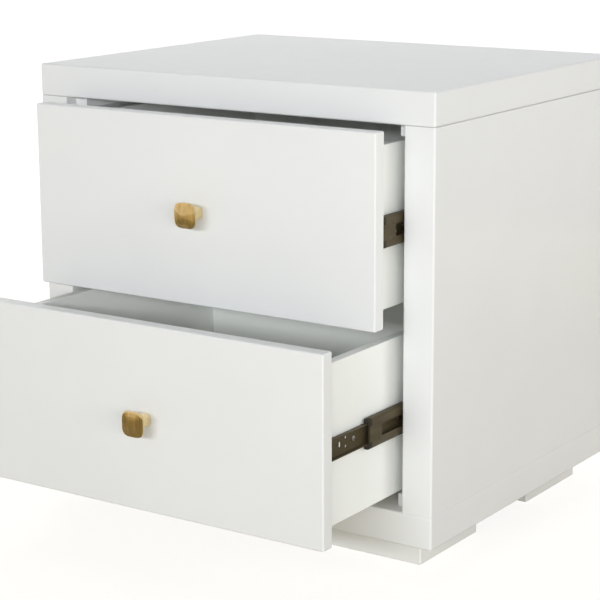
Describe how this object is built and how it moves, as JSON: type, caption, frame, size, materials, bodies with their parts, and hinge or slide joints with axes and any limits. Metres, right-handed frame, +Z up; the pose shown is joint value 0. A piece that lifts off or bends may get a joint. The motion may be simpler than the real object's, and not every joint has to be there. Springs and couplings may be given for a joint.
{
  "type": "nightstand",
  "caption": "Low bedside cabinet of thick boards on set-back block feet, with inset drawers on ball-bearing slides and small cushion-shaped knobs.",
  "frame": {"origin": "on the floor under the middle of the case's footprint, the drawers not counted", "axes": "+X to the right as seen from the front, +Y from the drawers to the back, +Z up"},
  "size_m": [0.56, 0.649, 0.556],
  "materials": {
    "white_lacquer": "white satin lacquer on board",
    "drawer_board": "white melamine on board",
    "white_hardboard": "white foil on hardboard",
    "beech": "bare beech",
    "brass": "satin brass",
    "black_steel": "black electro-coated sheet steel",
    "ball_steel": "bright steel balls in a steel cage",
    "zinc_steel": "zinc plated",
    "glide_plastic": "matt"
  },
  "bodies": {
    "case": {"top_panel": "white_lacquer", "base_panel": "white_lacquer", "left_side_panel": "white_lacquer", "right_side_panel": "white_lacquer", "back_panel": "white_hardboard", "upper_left_cleat": "white_lacquer", "upper_right_cleat": "white_lacquer", "lower_left_cleat": "white_lacquer", "lower_right_cleat": "white_lacquer", "cleat_screws": "zinc_steel", "front_left_foot": "white_lacquer", "front_right_foot": "white_lacquer", "rear_left_foot": "white_lacquer", "rear_right_foot": "white_lacquer", "foot_screws": "zinc_steel", "foot_glides": "glide_plastic", "case_dowels": "beech", "case_cam_bolts": "zinc_steel", "case_cam_locks": "zinc_steel", "upper_left_outer_rail": "black_steel", "upper_right_outer_rail": "black_steel", "lower_left_outer_rail": "black_steel", "lower_right_outer_rail": "black_steel", "outer_rail_screws": "zinc_steel"},
    "upper_middle_rails": {"upper_left_middle_rail": "black_steel", "upper_right_middle_rail": "black_steel"},
    "upper_drawer": {"upper_drawer_front": "white_lacquer", "upper_drawer_left_side": "drawer_board", "upper_drawer_right_side": "drawer_board", "upper_drawer_back": "drawer_board", "upper_drawer_bottom": "white_hardboard", "upper_knob": "brass", "upper_knob_screw": "zinc_steel", "upper_left_inner_rail": "black_steel", "upper_right_inner_rail": "black_steel", "upper_inner_rail_screws": "zinc_steel", "upper_front_cam_bolts": "zinc_steel", "upper_front_cam_locks": "zinc_steel", "upper_drawer_back_screws": "zinc_steel"},
    "upper_outer_cages": {"upper_outer_ball_cages": "ball_steel"},
    "upper_inner_cages": {"upper_inner_ball_cages": "ball_steel"},
    "lower_middle_rails": {"lower_left_middle_rail": "black_steel", "lower_right_middle_rail": "black_steel"},
    "lower_drawer": {"lower_drawer_front": "white_lacquer", "lower_drawer_left_side": "drawer_board", "lower_drawer_right_side": "drawer_board", "lower_drawer_back": "drawer_board", "lower_drawer_bottom": "white_hardboard", "lower_knob": "brass", "lower_knob_screw": "zinc_steel", "lower_left_inner_rail": "black_steel", "lower_right_inner_rail": "black_steel", "lower_inner_rail_screws": "zinc_steel", "lower_front_cam_bolts": "zinc_steel", "lower_front_cam_locks": "zinc_steel", "lower_drawer_back_screws": "zinc_steel"},
    "lower_outer_cages": {"lower_outer_ball_cages": "ball_steel"},
    "lower_inner_cages": {"lower_inner_ball_cages": "ball_steel"}
  },
  "joints": [
    {"name": "upper_middle_slide", "type": "slide", "parent": "case", "child": "upper_middle_rails", "axis": [0, -1, 0], "range_m": [-0.056, 0.144]},
    {"name": "upper_drawer_slide", "type": "slide", "parent": "upper_middle_rails", "child": "upper_drawer", "axis": [0, -1, 0], "range_m": [0, 0.2]},
    {"name": "upper_outer_cage_roll", "type": "slide", "parent": "case", "child": "upper_outer_cages", "axis": [0, -1, 0], "range_m": [-0.028, 0.072]},
    {"name": "upper_inner_cage_roll", "type": "slide", "parent": "upper_middle_rails", "child": "upper_inner_cages", "axis": [0, -1, 0], "range_m": [0, 0.1]},
    {"name": "lower_middle_slide", "type": "slide", "parent": "case", "child": "lower_middle_rails", "axis": [0, -1, 0], "range_m": [-0.083, 0.117]},
    {"name": "lower_drawer_slide", "type": "slide", "parent": "lower_middle_rails", "child": "lower_drawer", "axis": [0, -1, 0], "range_m": [-0.076, 0.124]},
    {"name": "lower_outer_cage_roll", "type": "slide", "parent": "case", "child": "lower_outer_cages", "axis": [0, -1, 0], "range_m": [-0.0415, 0.0585]},
    {"name": "lower_inner_cage_roll", "type": "slide", "parent": "lower_middle_rails", "child": "lower_inner_cages", "axis": [0, -1, 0], "range_m": [-0.038, 0.062]}
  ],
  "couplings": [
    {"joint": "upper_outer_cage_roll", "follows": "upper_middle_slide", "ratio": 0.5},
    {"joint": "upper_inner_cage_roll", "follows": "upper_drawer_slide", "ratio": 0.5},
    {"joint": "lower_outer_cage_roll", "follows": "lower_middle_slide", "ratio": 0.5},
    {"joint": "lower_inner_cage_roll", "follows": "lower_drawer_slide", "ratio": 0.5}
  ]
}
